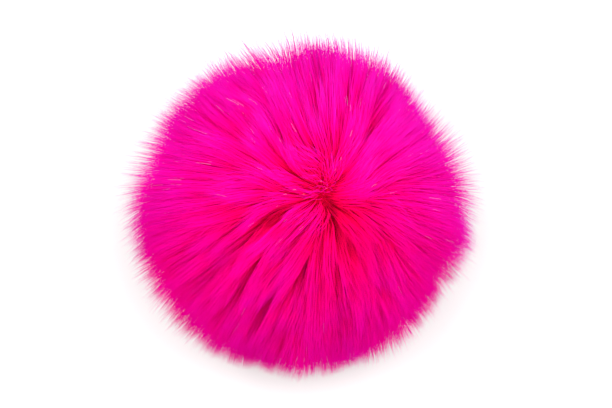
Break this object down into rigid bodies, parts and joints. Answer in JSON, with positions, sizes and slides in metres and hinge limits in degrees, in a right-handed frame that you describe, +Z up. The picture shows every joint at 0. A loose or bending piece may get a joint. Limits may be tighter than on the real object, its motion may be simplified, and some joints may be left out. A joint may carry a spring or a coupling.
{
  "type": "pom pom",
  "caption": "Round long-pile fur pom pom that rests on a small flat spot, its pile parting at a crown and falling away to all sides.",
  "frame": {"origin": "on the table, under the middle of the pom pom, in the plane of its flat spot", "axes": "+Z up from the table, +X to the pom pom's right, -Y towards its front"},
  "size_m": [0.1143, 0.1135, 0.0905],
  "materials": {
    "fur": "long silky pile, hot pink"
  },
  "bodies": {
    "root": {"pom_pom": "fur"}
  },
  "joints": []
}
